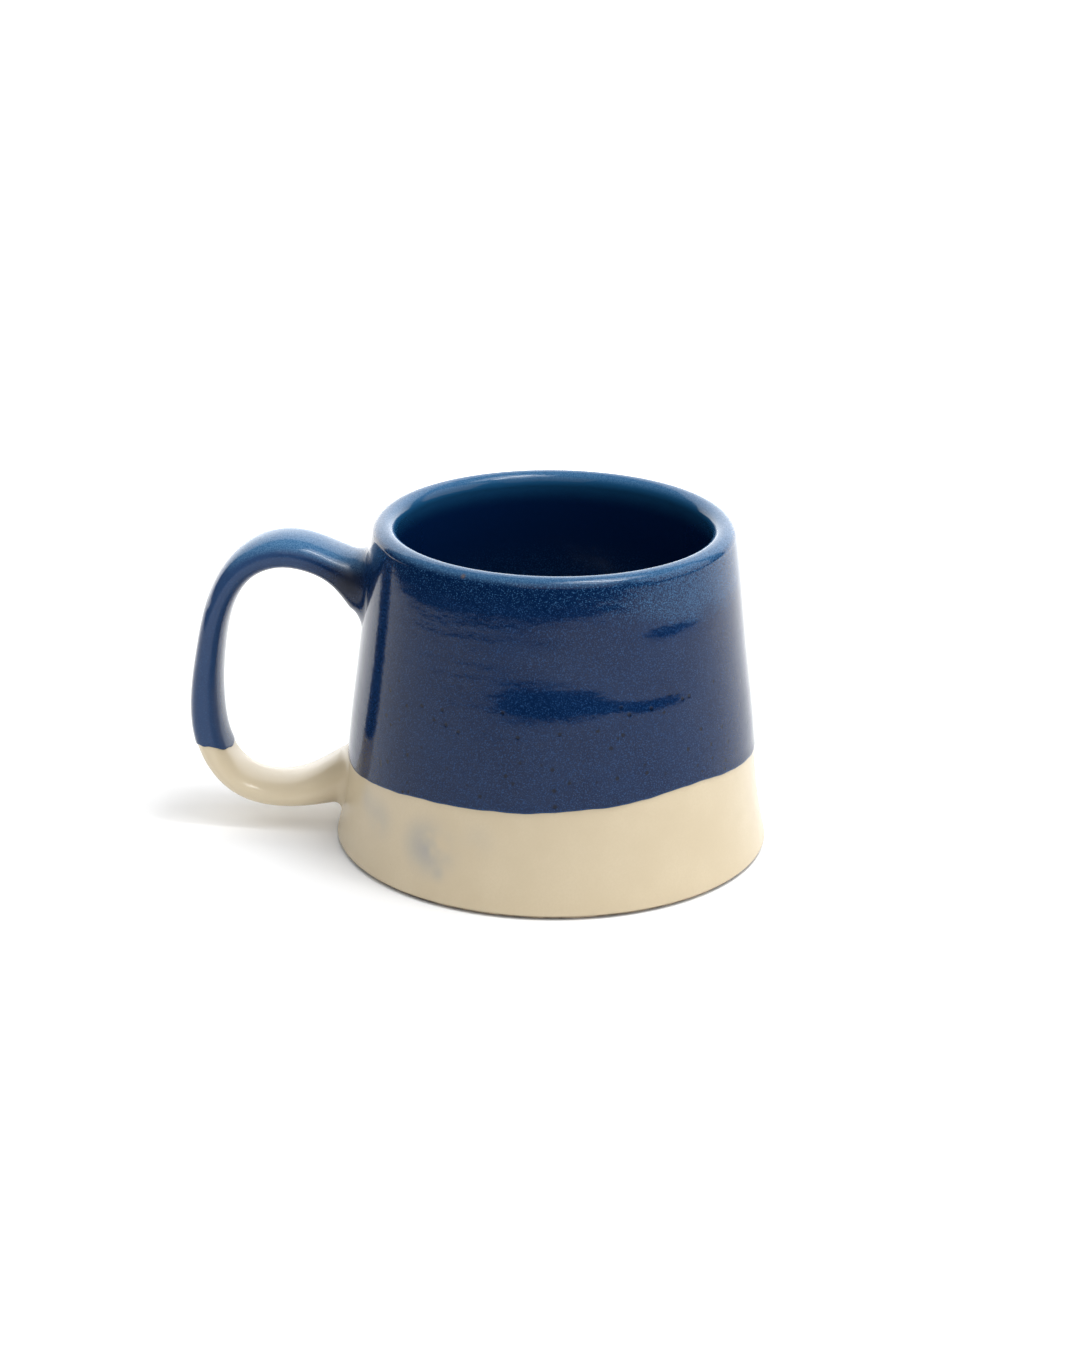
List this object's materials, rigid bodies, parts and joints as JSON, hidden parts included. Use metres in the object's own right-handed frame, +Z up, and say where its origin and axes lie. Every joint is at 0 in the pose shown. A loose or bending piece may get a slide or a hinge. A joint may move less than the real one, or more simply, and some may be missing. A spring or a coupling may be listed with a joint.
{
  "type": "shaving mug",
  "caption": "Low, wide-footed stoneware shaving mug with a pulled loop handle, deep blue glaze over a pale glazed base, for working up lather with a brush.",
  "frame": {"origin": "centre of the foot, on the surface the mug stands on", "axes": "+Z up along the mug's axis, -X towards the handle, whose loop lies in the XZ plane"},
  "size_m": [0.1364, 0.1014, 0.0772],
  "materials": {
    "stoneware": "matt bare fired clay",
    "blue_glaze": "glossy deep blue glaze with fine mottle",
    "cream_glaze": "satin cream glaze with faint specks"
  },
  "bodies": {
    "root": {"thrown_body": "stoneware", "pulled_handle": "stoneware", "upper_handle_weld": "stoneware", "lower_handle_weld": "stoneware", "liner_glaze": "blue_glaze", "blue_glaze_wall": "blue_glaze", "cream_glaze_wall": "cream_glaze", "blue_glaze_handle": "blue_glaze", "cream_glaze_handle": "cream_glaze"}
  },
  "joints": []
}
